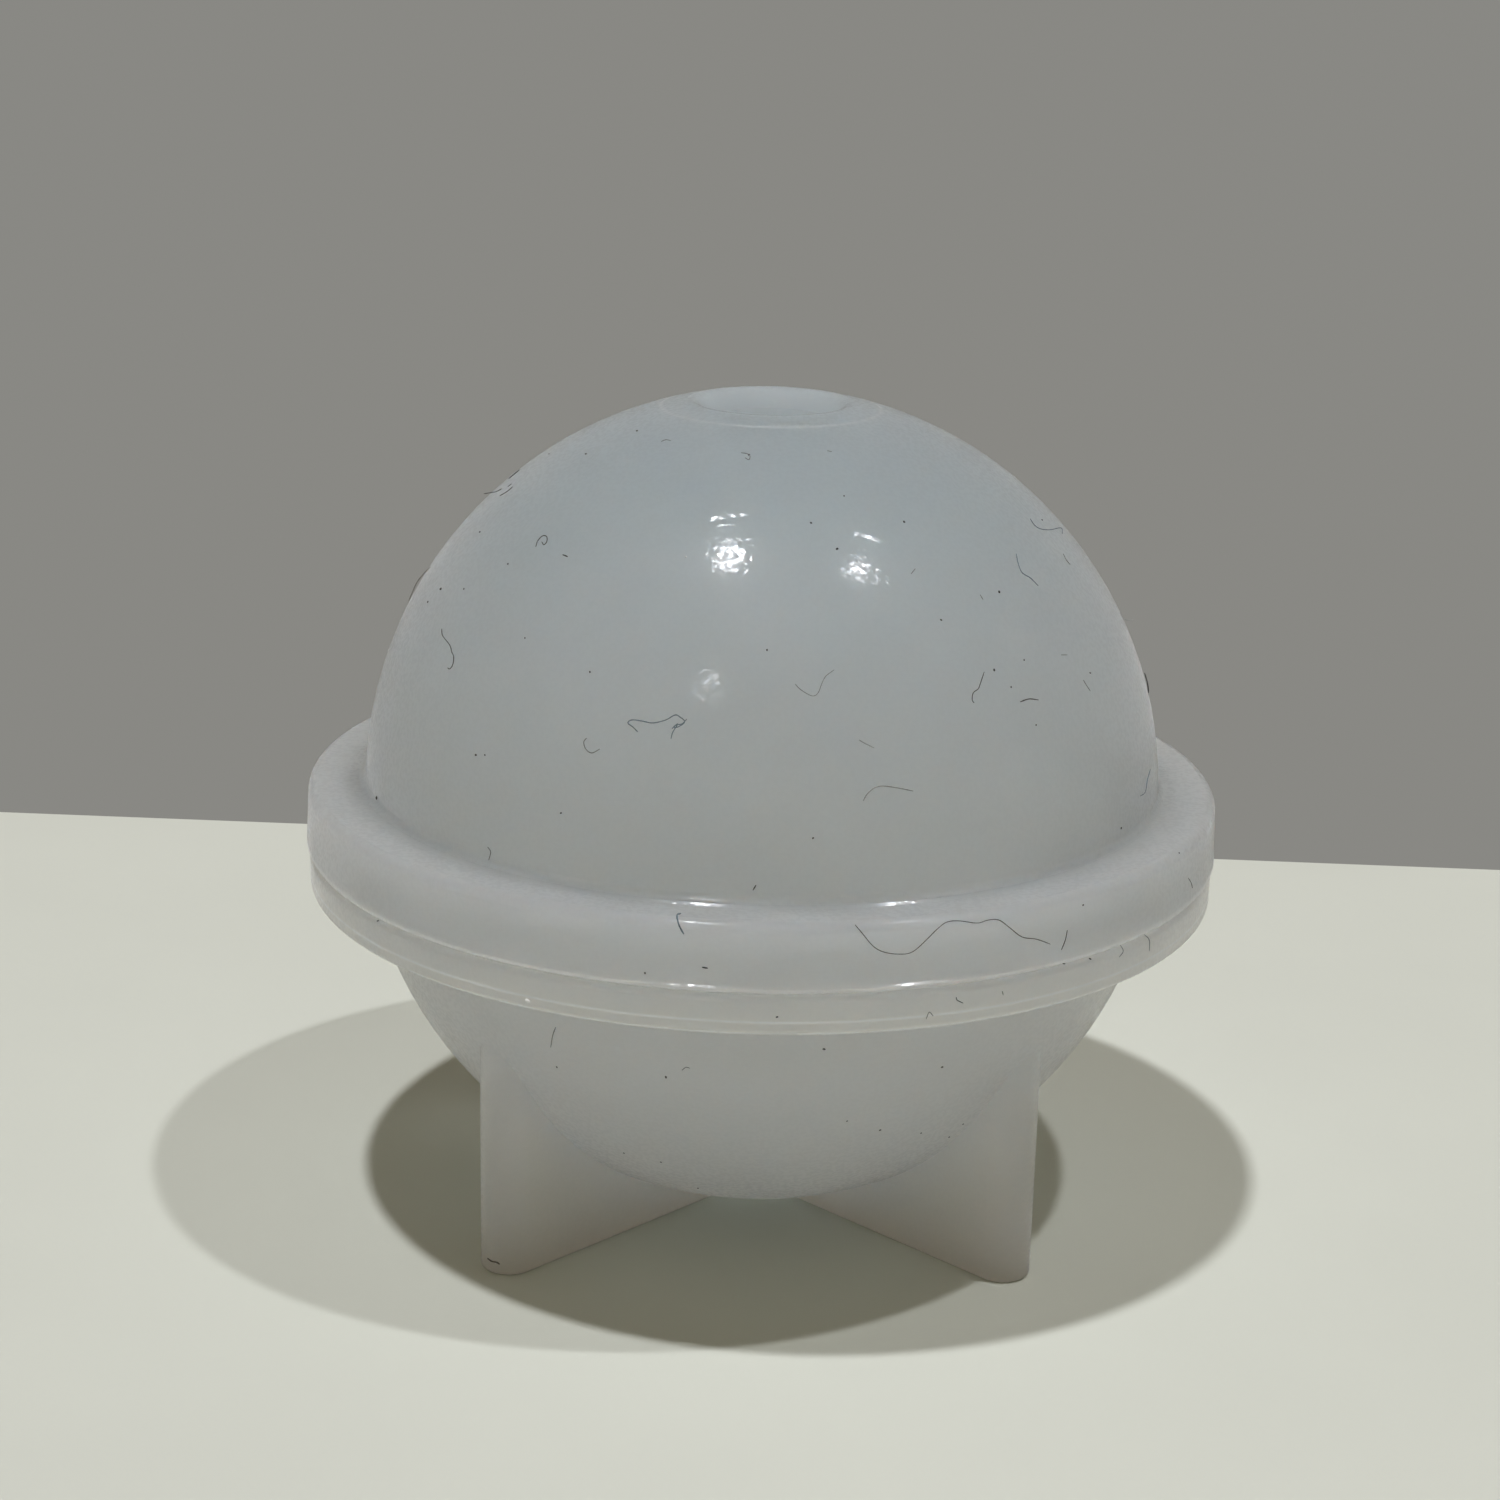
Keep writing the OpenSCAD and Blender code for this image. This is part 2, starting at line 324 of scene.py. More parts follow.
class Nodes:
    """Short calls that place and link a material's nodes."""

    def __init__(self, name):
        self.material = bpy.data.materials.new(name)
        self.material.use_nodes = True
        self.tree = self.material.node_tree
        self.shader = self.tree.nodes["Principled BSDF"]
        self.place = self.add("ShaderNodeTexCoord").outputs["Object"]

    def add(self, kind, **values):
        node = self.tree.nodes.new(kind)
        for key, value in values.items():
            setattr(node, key, value)
        return node

    def noise(self, width, detail, seed, roughness=0.5):
        """Noise whose lumps are about as wide as said, in metres."""
        apart = self.add("ShaderNodeVectorMath", operation="ADD")
        self.tree.links.new(self.place, apart.inputs[0])
        apart.inputs[1].default_value = (seed, 0.3 * seed, 0.7 * seed)
        node = self.add("ShaderNodeTexNoise", noise_dimensions="3D")
        node.inputs["Scale"].default_value = 1 / width
        node.inputs["Detail"].default_value = detail
        node.inputs["Roughness"].default_value = roughness
        self.tree.links.new(apart.outputs["Vector"], node.inputs["Vector"])
        return node.outputs["Fac"]

    def patchy(self, tone, colour, spread):
        """That colour, darker by a share where a noise is low and lighter where it is high."""
        node = self.add("ShaderNodeValToRGB")
        for end, at, factor in zip(node.color_ramp.elements, WIDE_CORE, (1 - spread, 1 + spread)):
            end.position = at
            end.color = (*(min(1.0, c * factor) for c in colour), 1)
        self.tree.links.new(tone, node.inputs["Fac"])
        return node.outputs["Color"]

    def span(self, fac, low, high, out_low, out_high):
        node = self.add("ShaderNodeMapRange")
        node.inputs["From Min"].default_value = low
        node.inputs["From Max"].default_value = high
        node.inputs["To Min"].default_value = out_low
        node.inputs["To Max"].default_value = out_high
        self.tree.links.new(fac, node.inputs["Value"])
        return node.outputs["Result"]

    def height(self):
        """Height above the standing plane, in metres."""
        node = self.add("ShaderNodeSeparateXYZ")
        self.tree.links.new(self.place, node.inputs["Vector"])
        return node.outputs["Z"]

    def out(self):
        """Distance from the axis, in metres."""
        flat = self.add("ShaderNodeVectorMath", operation="MULTIPLY")
        self.tree.links.new(self.place, flat.inputs[0])
        flat.inputs[1].default_value = (1, 1, 0)
        node = self.add("ShaderNodeVectorMath", operation="LENGTH")
        self.tree.links.new(flat.outputs["Vector"], node.inputs[0])
        return node.outputs["Value"]

    def ring(self, radius, height, width, strength):
        """That strength on a ring round the axis, falling to 0 at that width from it."""
        spot = self.add("ShaderNodeCombineXYZ")
        self.tree.links.new(self.out(), spot.inputs["X"])
        self.tree.links.new(self.height(), spot.inputs["Z"])
        away = self.add("ShaderNodeVectorMath", operation="DISTANCE")
        self.tree.links.new(spot.outputs["Vector"], away.inputs[0])
        away.inputs[1].default_value = (radius, 0, height)
        return self.span(away.outputs["Value"], 0, width, strength, 0)

    def blend(self, factor, low, high):
        """From one number or colour to another, where each may also be a node's output."""
        node = self.add("ShaderNodeMix", data_type="RGBA", clamp_factor=True)
        self.tree.links.new(factor, node.inputs["Factor"])
        for socket, value in (("A", low), ("B", high)):
            if isinstance(value, tuple):
                node.inputs[socket].default_value = (*value, 1)
            else:
                self.tree.links.new(value, node.inputs[socket])
        return node.outputs["Result"]

    def folded(self, operation, values):
        """One number from some, taken two by two."""
        first, *others = values
        for other in others:
            node = self.add("ShaderNodeMath", operation=operation)
            self.tree.links.new(first, node.inputs[0])
            self.tree.links.new(other, node.inputs[1])
            first = node.outputs["Value"]
        return first

    def most(self, values):
        return self.folded("MAXIMUM", values)

    def total(self, values):
        return self.folded("ADD", values)

    def product(self, *values):
        return self.folded("MULTIPLY", values)

    def scaled(self, colour, factor):
        node = self.add("ShaderNodeVectorMath", operation="SCALE")
        self.tree.links.new(colour, node.inputs[0])
        self.tree.links.new(factor, node.inputs["Scale"])
        return node.outputs["Vector"]

    def distance(self, middle):
        """Distance from a point, in metres."""
        node = self.add("ShaderNodeVectorMath", operation="DISTANCE")
        self.tree.links.new(self.place, node.inputs[0])
        node.inputs[1].default_value = middle
        return node.outputs["Value"]

    def ridge(self, middle, radius, width, height):
        """That height at a distance from a point, falling to 0 at that width on either side."""
        off = self.add("ShaderNodeMath", operation="SUBTRACT")
        self.tree.links.new(self.distance(middle), off.inputs[0])
        off.inputs[1].default_value = radius
        size = self.add("ShaderNodeMath", operation="ABSOLUTE")
        self.tree.links.new(off.outputs["Value"], size.inputs[0])
        return self.span(size.outputs["Value"], 0, width, height, 0)

    def bump(self, height, depth, under=None):
        """Relief of that height times that depth, over the normal that lies under it."""
        node = self.add("ShaderNodeBump")
        node.inputs["Distance"].default_value = depth
        self.tree.links.new(height, node.inputs["Height"])
        if under is not None:
            self.tree.links.new(under, node.inputs["Normal"])
        return node.outputs["Normal"]

    def feed(self, socket, output):
        self.tree.links.new(output, self.shader.inputs[socket])

    def put(self, **values):
        for key, value in values.items():
            self.shader.inputs[key.replace("_", " ")].default_value = value


# Middle of the cast ball, and the distances from it at which the walls end and the solid rim,
# ledge and fins have begun
CAVITY_MIDDLE = (0, 0, 0.0282)
WALL_TO_SOLID = (0.0275, 0.029)
# Where the body colours fade: heights up the domed half, with painted shade darker towards the
# crown, and distances from the cavity's middle in the bowl half, with a painted warm tint towards
# the fins' far corners
DOME_PAINTED_SHADE_FADE = (0.022, 0.052)
BOWL_PAINTED_TINT_FADE = (0.0275, 0.036)
# Painted highlight lines along the skirt's and the ledge's lower edges and round the filling
# hole: radius, height, half width and strength
PAINTED_HIGHLIGHT_LINES = {
    "upper": [(0.0310, 0.0252, 0.00045, 1.0), (0.0073, 0.0546, 0.0002, 0.35)],
    "lower": [(0.0308, 0.0232, 0.00012, 0.9), (0.0307, 0.02246, 0.00012, 0.9)],
}
# Colour of the painted highlight lines
HIGHLIGHT_LINE_COLOUR = (1.0, 1.0, 1.0)
# Share of a spot's clearness that is left on such a painted highlight line
HIGHLIGHT_LINE_CLEARNESS = 0.1
# Ring in the filling hole's wall, which is duller than the rest, and the share of gloss left on it
THROAT_RING = (0.0039, 0.0539, 0.00135, 3.0)
THROAT_GLOSS = 0.15
# Short arched tool marks on the dome, which catch the lamps: the middle and radius of the arch, its
# half width and depth, and the spot that it ends at with its reach
ARCHES = [
    ((-0.00192, -0.02109, 0.04538), 0.00782, 0.0003, 0.00003,
     (-0.00273, -0.01539, 0.05067), 0.0015),
    ((-0.00192, -0.02109, 0.04538), 0.0071, 0.0002, 0.000012,
     (-0.00278, -0.01597, 0.05023), 0.0009),
    ((0.00463, -0.02065, 0.0454), 0.00644, 0.0003, 0.00003,
     (0.00581, -0.01595, 0.04964), 0.0011),
]
# Share of an arch's reach within which it has its full depth
ARCH_CORE = 0.8
# Slope at the dome's foot, where the crease shines: inner and outer radius, and the relief at each
CREASE = (0.0275, 0.0281, 0.000507, 0)
# Slope over the skirt's lower edge: lower and upper height, and the relief at each
SKIRT_EDGE = (0.0253, 0.0255, 0.00022, 0)
# Middle of the bowl's bottom, and the distances from it between which the clear window there ends
BOWL_BOTTOM = (0, 0, 0.0017)
WINDOW = (0.004, 0.012)
# Faint pale smears that fingers left on the domed half: middle, reach and strength
SMEARS = [((0.0153, -0.0165, 0.0435), 0.0022, 0.5), ((0.0163, -0.0136, 0.0454), 0.0018, 0.35),
          ((0.0171, -0.0113, 0.0462), 0.0018, 0.4), ((0.0181, -0.0073, 0.0473), 0.0015, 0.25)]
SMEAR_COLOUR = (0.86, 0.88, 0.87)

# Widths of smudges, of patches in a smear, of dull patches, and of waves with their depth
SMUDGE_WIDTH = 0.011
SMEAR_PATCH_WIDTH = 0.0012
DULL_PATCH_WIDTH = 0.006
WAVE_WIDTH = 0.0035
WAVE_DEPTH = 0.00002
# Factors of smudges on the colour and of patches on a smear, and what dull patches add to roughness
SMUDGE_FACTORS = (0.975, 1.02)
SMEAR_FACTORS = (0.5, 1)
DULL_STEPS = (-0.04, 0.06)
# Width of the gaps in the glossy skin, in grains, the noise at which they begin and end, and the
# share of gloss that is left in them
GAP_GRAINS = 0.66
GAP_NOISE = (0.42, 0.6)
GAP_GLOSS = 0.25
# Width of the patches of shallow and deep grain, in grains, and their factors on its depth
DEEP_GRAINS = 3
DEEP_FACTORS = (0.2, 1.3)


def body_colour(m, body, look, seed):
    """Milky colour, smudged, with painted shade towards the dome's crown, a painted warm tint
    towards the fins' far corners, and pale finger smears on the dome.
    """
    if body == "upper":
        # Painted shade: darker towards the dome's crown
        colour = m.blend(m.span(m.height(), *DOME_PAINTED_SHADE_FADE, 0, 1), tuple(look.rim_colour),
                         tuple(look.crown_colour_painted_shade))
    else:
        # Painted warm tint of the shadowed floor seen through the fins, towards their far corners
        colour = m.blend(m.span(m.distance(CAVITY_MIDDLE), *BOWL_PAINTED_TINT_FADE, 0, 1),
                         tuple(look.bowl_colour), tuple(look.foot_colour_painted_tint))
    smudges = m.noise(SMUDGE_WIDTH, 2, seed, roughness=0.6)
    colour = m.scaled(colour, m.span(smudges, *CORE, *SMUDGE_FACTORS))
    if body == "upper":
        smears = m.most([m.span(m.distance(middle), 0, reach, strength, 0)
                         for middle, reach, strength in SMEARS])
        patches = m.noise(SMEAR_PATCH_WIDTH, 1, seed + 5, roughness=0.6)
        smeared = m.product(smears, m.span(patches, *CORE, *SMEAR_FACTORS))
        colour = m.blend(smeared, colour, SMEAR_COLOUR)
    return colour


def skin_relief(m, body, skin, seed):
    """Height of the glossy skin: grain and ripples, and the tool's marks and slopes on the dome."""
    half_grain = skin.grain_depth / 2
    grain = m.span(m.noise(skin.grain, 0, seed + 3), 0, 1, -half_grain, half_grain)
    deep = m.span(m.noise(DEEP_GRAINS * skin.grain, 0, seed + 6), *CORE, *DEEP_FACTORS)
    ripples = m.span(m.noise(skin.ripple, 1, seed + 4), 0, 1, 0, skin.ripple_depth)
    relief = [m.product(grain, deep), ripples]
    if body == "upper":
        for middle, radius, width, depth, end, reach in ARCHES:
            left = m.span(m.distance(end), ARCH_CORE * reach, reach, 1, 0)
            relief.append(m.product(m.ridge(middle, radius, width, depth), left))
        relief += [m.span(m.out(), *CREASE), m.span(m.height(), *SKIRT_EDGE)]
    return m.total(relief)


def silicone(name, body, look, skin, seed):
    """Milky silicone: light spreads far inside it, under a satin skin and a thin, grained gloss.
    Painted highlight lines lie on some of its edges.
    """
    m = Nodes(name)
    # Painted highlight lines: white in the base colour and less clear, on edges and round the
    # filling hole
    painted_highlights = m.most([m.ring(*edge) for edge in PAINTED_HIGHLIGHT_LINES[body]])
    m.feed("Base Color", m.blend(painted_highlights, body_colour(m, body, look, seed), HIGHLIGHT_LINE_COLOUR))
    dull = m.noise(DULL_PATCH_WIDTH, 2, seed + 1, roughness=0.6)
    m.feed("Roughness", m.span(dull, *WIDE_CORE, *[look.roughness + step for step in DULL_STEPS]))
    waves = m.bump(m.noise(WAVE_WIDTH, 1, seed + 2), WAVE_DEPTH)
    m.feed("Normal", waves)
    m.feed("Coat Normal", m.bump(skin_relief(m, body, skin, seed), 1.0, under=waves))
    gaps = m.noise(GAP_GRAINS * skin.grain, 0, seed + 7)
    gloss = m.span(gaps, *GAP_NOISE, GAP_GLOSS * look.gloss, look.gloss)
    m.feed("Coat Weight", m.product(gloss, m.span(m.ring(*THROAT_RING), 0, 1, 1, THROAT_GLOSS)))
    clearness = m.span(m.distance(CAVITY_MIDDLE), *WALL_TO_SOLID, look.wall_clearness,
                       look.solid_clearness)
    if body == "lower":
        clearness = m.most([clearness, m.span(m.distance(BOWL_BOTTOM), *WINDOW, 1, 0)])
    m.feed("Transmission Weight", m.product(clearness, m.span(painted_highlights, 0, 1, 1, HIGHLIGHT_LINE_CLEARNESS)))
    m.put(IOR=1.41, Specular_IOR_Level=0.2, Subsurface_Weight=1.0,
          Subsurface_Radius=tuple(skin.blue_depth), Subsurface_Scale=look.scatter_depth,
          Subsurface_Anisotropy=skin.forward, Sheen_Weight=skin.haze, Sheen_Roughness=0.4,
          Coat_Roughness=skin.gloss_roughness, Coat_IOR=1.41)
    return m.material


def matt(name, colour, width, spread):
    """Dull colour for lint and dust, with patches of that width that differ by that share."""
    m = Nodes(name)
    tone = m.noise(width, 2, 7)
    m.feed("Base Color", m.patchy(tone, colour, spread))
    m.put(Roughness=0.75)
    m.feed("Normal", m.bump(tone, 0.00001))
    return m.material


def deselect_all():
    if bpy.context.mode != "OBJECT":
        bpy.ops.object.mode_set(mode="OBJECT")
    bpy.ops.object.select_all(action="DESELECT")


def paint(piece, material):
    piece.data.materials.clear()
    piece.data.materials.append(material)


def finish_half(body, look):
    """Gives a half's CAD node its silicone, named after the record's slot."""
    node, slot = HALVES[body]
    skin = bpy.context.scene.mould_skin
    paint(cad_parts[node], silicone(slot, body, look, skin, SEEDS[body]["skin"]))


class PhotoView:
    """Turns photograph pixels into points on the mould's surface."""

    def __init__(self):
        camera = bpy.context.scene.camera
        if camera is None:
            raise RuntimeError("the stage comes before the lint, because it sets the camera")
        bpy.context.view_layer.update()
        self.eye = camera.matrix_world.translation.copy()
        self.turn = camera.matrix_world.to_3x3()
        self.focal_px = camera.data.lens / camera.data.sensor_width * FRAME_PX

    def ray(self, x, y):
        half = FRAME_PX / 2
        return (self.turn @ Vector((x - half, half - y, -self.focal_px))).normalized()

    def hit(self, body, x, y):
        """The half's first surface point under a pixel, with its normal."""
        return first_hit(body, self.eye, self.ray(x, y))

    def course(self, body, pixels):
        """Surface points under a course of pixels. Where it runs past the half's outline, the
        thread stands off beside it, as far from the camera as the nearest point that lies on it."""
        spots = [self.hit(body, *p) for p in pixels]
        lying = [k for k, spot in enumerate(spots) if spot]
        if not lying:
            raise RuntimeError(f"the fibre at {tuple(pixels[0])} misses the {body} half")
        for k, pixel in enumerate(pixels):
            if spots[k] is None:
                point, normal = spots[min(lying, key=lambda j: abs(j - k))]
                spots[k] = (self.eye + self.ray(*pixel) * (point - self.eye).length, normal)
        return spots


def first_hit(body, start, way):
    node, _ = HALVES[body]
    found, point, normal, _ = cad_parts[node].ray_cast(start, way)
    return (point, normal) if found else None


# Points on a thread's course from one given point up to the next
COURSE_STEPS = 4
# Height of a thread's middle line over the skin, in thread widths, so that it just sinks in
THREAD_LIFT = 0.45
# Unevenness of a thread's width, and its share at the ends
THREAD_WIDTHS = (0.85, 1.1)
THREAD_TIP = 0.6
# Width of the patches in the colour of lint, and the share by which they differ
LINT_PATCHES = (0.0004, 0.35)


def smooth_course(points):
    """More points on a smooth line, a Catmull-Rom spline, through the given ones."""
    ends = [2 * Vector(points[0]) - Vector(points[1]), *map(Vector, points),
            2 * Vector(points[-1]) - Vector(points[-2])]
    course = []
    for a, b, c, d in zip(ends, ends[1:], ends[2:], ends[3:]):
        for k in range(COURSE_STEPS):
            t = k / COURSE_STEPS
            course.append(0.5 * (2 * b + (c - a) * t + (2 * a - 5 * b + 4 * c - d) * t ** 2
                                 + (3 * b - a - 3 * c + d) * t ** 3))
    return course + [ends[-2]]


def fibre(name, tone, spots, width, rng):
    """A thin round thread along spots of the surface, thinner at its ends."""
    deselect_all()
    bpy.ops.curve.primitive_nurbs_path_add()
    thread = bpy.context.object
    thread.name = name
    spline = thread.data.splines[0]
    spline.points.add(len(spots) - len(spline.points))
    spline.order_u = 3
    for k, (p, (point, normal)) in enumerate(zip(spline.points, spots)):
        p.co = (*(point + normal * (width * THREAD_LIFT)), 1)
        p.radius = (THREAD_TIP if k in (0, len(spots) - 1) else 1.0) * rng.uniform(*THREAD_WIDTHS)
    thread.data.bevel_depth = width / 2
    thread.data.bevel_resolution = 1
    thread.data.resolution_u = 2
    thread.data.use_fill_caps = True
    paint(thread, dirt("lint_" + tone, tone, *LINT_PATCHES))
    return thread


def dirt(name, tone, width, spread):
    """The material of a kind of lint or dust, made when it is first asked for."""
    colour = getattr(bpy.context.scene.mould_lint, tone)
    return bpy.data.materials.get(name) or matt(name, colour, width, spread)


def joined(name, parts, body):
    """One mesh of like parts that rides on a half."""
    deselect_all()
    for part in parts:
        part.select_set(True)
    bpy.context.view_layer.objects.active = parts[0]
    if parts[0].type == "CURVE":
        bpy.ops.object.convert(target="MESH")
    bpy.ops.object.join()
    piece = bpy.context.object
    bpy.ops.object.transform_apply(location=True, rotation=True, scale=True)
    piece.name = name
    piece.data.name = name
    bpy.ops.object.shade_smooth()
    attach(piece, body)


def seen_fibres(body, view, rng):
    made = []
    for name, (half, tone, width, pixels) in FIBRES.items():
        if half == body:
            spots = view.course(body, smooth_course(pixels))
            made.append(fibre(name, tone, spots, width * MM, rng))
    return made


# Where the rays that look for a half's outside start, as a distance from the axis
OUTSIDE = 0.1


def side_spot(body, angle, height):
    """Surface point of a half at an angle round the axis and a height, seen from outside."""
    out = Vector((math.sin(angle), -math.cos(angle), 0))
    return first_hit(body, out * OUTSIDE + Vector((0, 0, height)), -out)


# Heights between which unseen lint and dust are scattered, for each half
SCATTER_HEIGHTS = {"upper": (0.0262, 0.052), "lower": (0.006, 0.0245)}
# How far a thread may run past them
SCATTER_MARGIN = 0.001
# Angles round the axis, from the camera's side, that the photograph doesn't show
SCATTER_ANGLES = (math.radians(95), math.radians(265))
# Unseen threads: tones, widths in mm, lengths of a step in mm, and numbers of points
HIDDEN_TONES = ("dark", "dark", "pale", "blue")
HIDDEN_WIDTHS = (0.045, 0.07)
HIDDEN_STEPS = (0.2, 0.5)
HIDDEN_POINTS = (5, 12)
# Greatest steady bend of a thread and greatest stray turn at a point, in radians
HIDDEN_BEND = 0.5
HIDDEN_STRAY = 0.35
# A thread ends where the surface lies this many steps away
LEAP = 4
# Least distance from the axis and least slope that a step is reckoned with
LEAST_REACH = 0.005
LEAST_RISE = 0.2


def hidden_course(body, rng):
    """Surface spots of a short, gently wandering thread."""
    low, high = SCATTER_HEIGHTS[body]
    angle = rng.uniform(*SCATTER_ANGLES)
    height = rng.uniform(low, high)
    turn = rng.uniform(0, 2 * math.pi)
    bend = rng.uniform(-HIDDEN_BEND, HIDDEN_BEND)
    step = rng.uniform(*HIDDEN_STEPS) * MM
    spots = []
    for _ in range(rng.randint(*HIDDEN_POINTS)):
        spot = side_spot(body, angle, height)
        if spot is None or not low - SCATTER_MARGIN <= height <= high + SCATTER_MARGIN:
            break
        if spots and (spot[0] - spots[-1][0]).length > LEAP * step:
            break
        spots.append(spot)
        reach = max(spot[0].xy.length, LEAST_REACH)
        rise = max(LEAST_RISE, math.sqrt(max(0.0, 1 - spot[1].z ** 2)))
        angle += step * math.cos(turn) / reach
        height += step * math.sin(turn) * rise
        turn += bend + rng.uniform(-HIDDEN_STRAY, HIDDEN_STRAY)
    return spots


def hidden_fibres(body, count, rng):
    """Lint on the sides that the photograph doesn't show."""
    made = []
    for n in range(count):
        spots = hidden_course(body, rng)
        width = rng.uniform(*HIDDEN_WIDTHS) * MM
        tone = rng.choice(HIDDEN_TONES)
        if len(spots) >= HIDDEN_POINTS[0]:
            made.append(fibre(f"hidden_{n}", tone, spots, width, rng))
    return made


# Colour patches of dust and of the white specks with painted highlights: their width, and the share
# by which they differ
DUST_PATCHES = {"dust": (0.0001, 0.5), "white_dust": (0.0001, 0.05)}
# How far a speck's points are pushed about, and its size along its three axes, in diameters
SPECK_PUSH = 0.08
SPECK_FORM = (1.25, 0.9, 0.55)
# Height of a speck's middle over the skin, in diameters
SPECK_LIFT = 0.12
# Factors on a seen speck's diameter, and diameters of the unseen ones in mm
SPECK_FACTORS = (0.9, 1.15)
HIDDEN_SPECKS = (0.09, 0.2)


def first_speck(tone, seed):
    """A dust speck 1 m wide: a small ball with its points pushed about, pressed flat."""
    deselect_all()
    bpy.ops.mesh.primitive_ico_sphere_add(subdivisions=2, radius=0.5, location=(0, 0, 0))
    speck = bpy.context.object
    bpy.ops.object.mode_set(mode="EDIT")
    bpy.ops.mesh.select_all(action="SELECT")
    bpy.ops.transform.vertex_random(offset=SPECK_PUSH, uniform=1.0, normal=0.0, seed=seed)
    bpy.ops.transform.resize(value=SPECK_FORM)
    bpy.ops.object.mode_set(mode="OBJECT")
    paint(speck, dirt(tone, tone, *DUST_PATCHES[tone]))
    return speck


def speck_copy(model, spot, size, spin):
    """A copy of the speck with its own mesh, lying on the skin."""
    point, normal = spot
    copy = model.copy()
    copy.data = model.data.copy()
    bpy.context.collection.objects.link(copy)
    lie = normal.to_track_quat("Z", "Y").to_matrix().to_4x4()
    copy.data.transform(Matrix.Translation(point + normal * size * SPECK_LIFT) @ lie
                        @ Matrix.Rotation(spin, 4, "Z") @ Matrix.Scale(size, 4))
    return copy


def specks(body, count, view, rng):
    models = {tone: first_speck(tone, SEEDS[body]["speck"]) for tone in DUST_PATCHES}
    made = []
    for half, tone, size, pixels in SPECKS:
        if half != body:
            continue
        for x, y in pixels:
            spot = view.hit(body, x, y)
            if spot is None:
                raise RuntimeError(f"speck at {x}, {y} misses the {body} half")
            made.append(speck_copy(models[tone], spot, size * MM * rng.uniform(*SPECK_FACTORS),
                                   rng.uniform(0, math.pi)))
    for _ in range(count):
        angle, height = rng.uniform(*SCATTER_ANGLES), rng.uniform(*SCATTER_HEIGHTS[body])
        size, spin = rng.uniform(*HIDDEN_SPECKS) * MM, rng.uniform(0, math.pi)
        spot = side_spot(body, angle, height)
        if spot:
            made.append(speck_copy(models["dust"], spot, size, spin))
    for model in models.values():
        bpy.data.objects.remove(model)
    return made


def add_lint(body):
    rng = random.Random(SEEDS[body]["lint"])
    count = bpy.context.scene.mould_lint.hidden_fibres // len(HALVES)
    threads = seen_fibres(body, PhotoView(), rng) + hidden_fibres(body, count, rng)
    joined("lint_" + body, threads, body)


def add_dust(body):
    rng = random.Random(SEEDS[body]["dust"])
    count = bpy.context.scene.mould_lint.hidden_specks // len(HALVES)
    joined("dust_" + body, specks(body, count, PhotoView(), rng), body)


class MOULD_OT_upper_half(bpy.types.Operator):
    """Finish the domed half in milky silicone"""

    bl_idname = "mould.upper_half"
    bl_label = "Upper half"
    bl_options = {"REGISTER", "UNDO"}

    def execute(self, context):
        finish_half("upper", context.scene.mould_upper)
        return {"FINISHED"}


class MOULD_OT_lower_half(bpy.types.Operator):
    """Finish the finned bowl half in milky silicone"""

    bl_idname = "mould.lower_half"
    bl_label = "Lower half"
    bl_options = {"REGISTER", "UNDO"}

    def execute(self, context):
        finish_half("lower", context.scene.mould_lower)
        return {"FINISHED"}


class MOULD_OT_lint(bpy.types.Operator):
    """Lay the lint fibres on both halves"""

    bl_idname = "mould.lint"
    bl_label = "Lint"
    bl_options = {"REGISTER", "UNDO"}

    def execute(self, context):
        for body in HALVES:
            add_lint(body)
        return {"FINISHED"}


class MOULD_OT_dust(bpy.types.Operator):
    """Scatter the specks of dust over both halves"""

    bl_idname = "mould.dust"
    bl_label = "Dust"
    bl_options = {"REGISTER", "UNDO"}

    def execute(self, context):
        for body in HALVES:
            add_dust(body)
        return {"FINISHED"}


# Middle of the mould, which the lamps point at
MIDDLE = Vector((0, 0, 0.0275))
# Way from the mould to each lamp
KEY_WAY = Vector((-0.155, -0.124, 0.98))
SIDE_WAY = Vector((0.366, -0.119, 0.923))
# Lamp that shows only as a glint on the dome: way, share of full light, length and width
GLINT_WAY = Vector((-0.401, -1.011, 1))
GLINT_SHARE = 0.05
GLINT_LENGTH = 0.03
GLINT_WIDTH = 0.06
# Table top: its left, right and front sides, and its far edge on the left and right of the view
TABLE_LEFT, TABLE_RIGHT, TABLE_FRONT = -0.6, 0.6, -0.7
TABLE_BACK_LEFT, TABLE_BACK_RIGHT = 0.1134, 0.0335
# Width of the patches in the table top's colour, and the share by which they differ
TABLE_PATCHES = (0.03, 0.015)


def lamp(name, way, share, look, length, width):
    """An oval lamp that gives the floor that share of full light."""
    distance = look.lamp_distance
    way = way.normalized()
    bpy.ops.object.light_add(type="AREA", location=MIDDLE + way * distance)
    made = bpy.context.object
    made.name = name
    across = (Vector((1, 0, 0)) - way * way.x).normalized()
    made.rotation_euler = Matrix((across, way.cross(across), way)).transposed().to_euler()
    made.data.shape = "ELLIPSE"
    made.data.size = length
    made.data.size_y = width
    made.data.color = look.lamp_colour
    made.data.energy = share * math.pi ** 2 * distance ** 2 / way.z
    return made


def lamps(look):
    lamp("key_lamp", KEY_WAY, look.key_share, look, look.lamp_size, look.lamp_size)
    lamp("side_lamp", SIDE_WAY, look.side_share, look, look.side_size, look.side_size)
    glint = lamp("glint_front", GLINT_WAY, GLINT_SHARE, look, GLINT_LENGTH, GLINT_WIDTH)
    glint.visible_diffuse = False
    glint.visible_transmission = False


